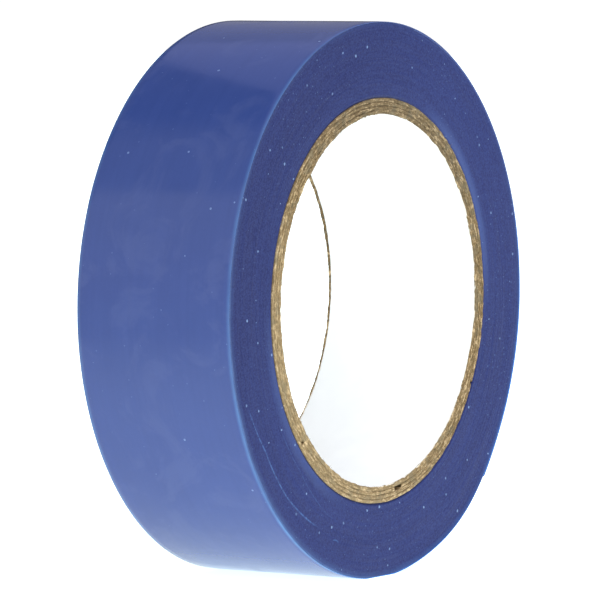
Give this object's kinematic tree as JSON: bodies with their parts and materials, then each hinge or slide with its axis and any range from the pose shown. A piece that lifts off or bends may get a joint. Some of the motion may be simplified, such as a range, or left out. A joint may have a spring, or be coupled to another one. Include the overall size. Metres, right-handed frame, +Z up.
{
  "type": "roll of electrical tape",
  "caption": "Blue PVC electrical tape wound on a lined paperboard core, standing on its rim, with a free end that peels away in a smooth curve.",
  "frame": {"origin": "the roll's centre, on its axis and midway between its two faces", "axes": "+Y along the roll's axis, from the face in view towards the far face; +Z up, with the roll standing on its rim; the free end of the tape is on the +X side"},
  "size_m": [0.06, 0.019, 0.0598],
  "materials": {
    "liner_paper": "matte",
    "core_board": "matte",
    "pvc_wound": "satin",
    "pvc_film": "satin"
  },
  "bodies": {
    "roll": {"core_liner": "liner_paper", "core_ply_1": "core_board", "core_ply_2": "core_board", "core_ply_3": "core_board", "core_ply_4": "core_board", "tape_pack": "pvc_wound", "tape_outer_turn": "pvc_film"},
    "lead_1": {"tape_lead_1": "pvc_film"},
    "lead_2": {"tape_lead_2": "pvc_film"},
    "lead_3": {"tape_lead_3": "pvc_film"},
    "lead_4": {"tape_lead_4": "pvc_film"},
    "lead_5": {"tape_lead_5": "pvc_film"},
    "lead_6": {"tape_lead_6": "pvc_film"},
    "lead_7": {"tape_lead_7": "pvc_film"},
    "lead_8": {"tape_lead_8": "pvc_film"}
  },
  "joints": [
    {"name": "lead_peel_1", "type": "hinge", "parent": "roll", "child": "lead_1", "pos_m": [0.0068, 0, 0.02917], "axis": [0, -1, 0], "range_deg": [0, 16]},
    {"name": "lead_peel_2", "type": "hinge", "parent": "lead_1", "child": "lead_2", "pos_m": [0.01412, 0, 0.02642], "axis": [0, -1, 0], "range_deg": [0, 16]},
    {"name": "lead_peel_3", "type": "hinge", "parent": "lead_2", "child": "lead_3", "pos_m": [0.02049, 0, 0.02187], "axis": [0, -1, 0], "range_deg": [0, 16]},
    {"name": "lead_peel_4", "type": "hinge", "parent": "lead_3", "child": "lead_4", "pos_m": [0.02545, 0, 0.01583], "axis": [0, -1, 0], "range_deg": [0, 16]},
    {"name": "lead_peel_5", "type": "hinge", "parent": "lead_4", "child": "lead_5", "pos_m": [0.02869, 0, 0.0087], "axis": [0, -1, 0], "range_deg": [0, 16]},
    {"name": "lead_peel_6", "type": "hinge", "parent": "lead_5", "child": "lead_6", "pos_m": [0.02997, 0, 0.00098], "axis": [0, -1, 0], "range_deg": [0, 16]},
    {"name": "lead_peel_7", "type": "hinge", "parent": "lead_6", "child": "lead_7", "pos_m": [0.02921, 0, -0.00681], "axis": [0, -1, 0], "range_deg": [0, 16]},
    {"name": "lead_peel_8", "type": "hinge", "parent": "lead_7", "child": "lead_8", "pos_m": [0.02645, 0, -0.01414], "axis": [0, -1, 0], "range_deg": [0, 16]}
  ],
  "couplings": [
    {"joint": "lead_peel_2", "follows": "lead_peel_1", "ratio": 1},
    {"joint": "lead_peel_3", "follows": "lead_peel_1", "ratio": 1},
    {"joint": "lead_peel_4", "follows": "lead_peel_1", "ratio": 1},
    {"joint": "lead_peel_5", "follows": "lead_peel_1", "ratio": 1},
    {"joint": "lead_peel_6", "follows": "lead_peel_1", "ratio": 1},
    {"joint": "lead_peel_7", "follows": "lead_peel_1", "ratio": 1},
    {"joint": "lead_peel_8", "follows": "lead_peel_1", "ratio": 1}
  ]
}
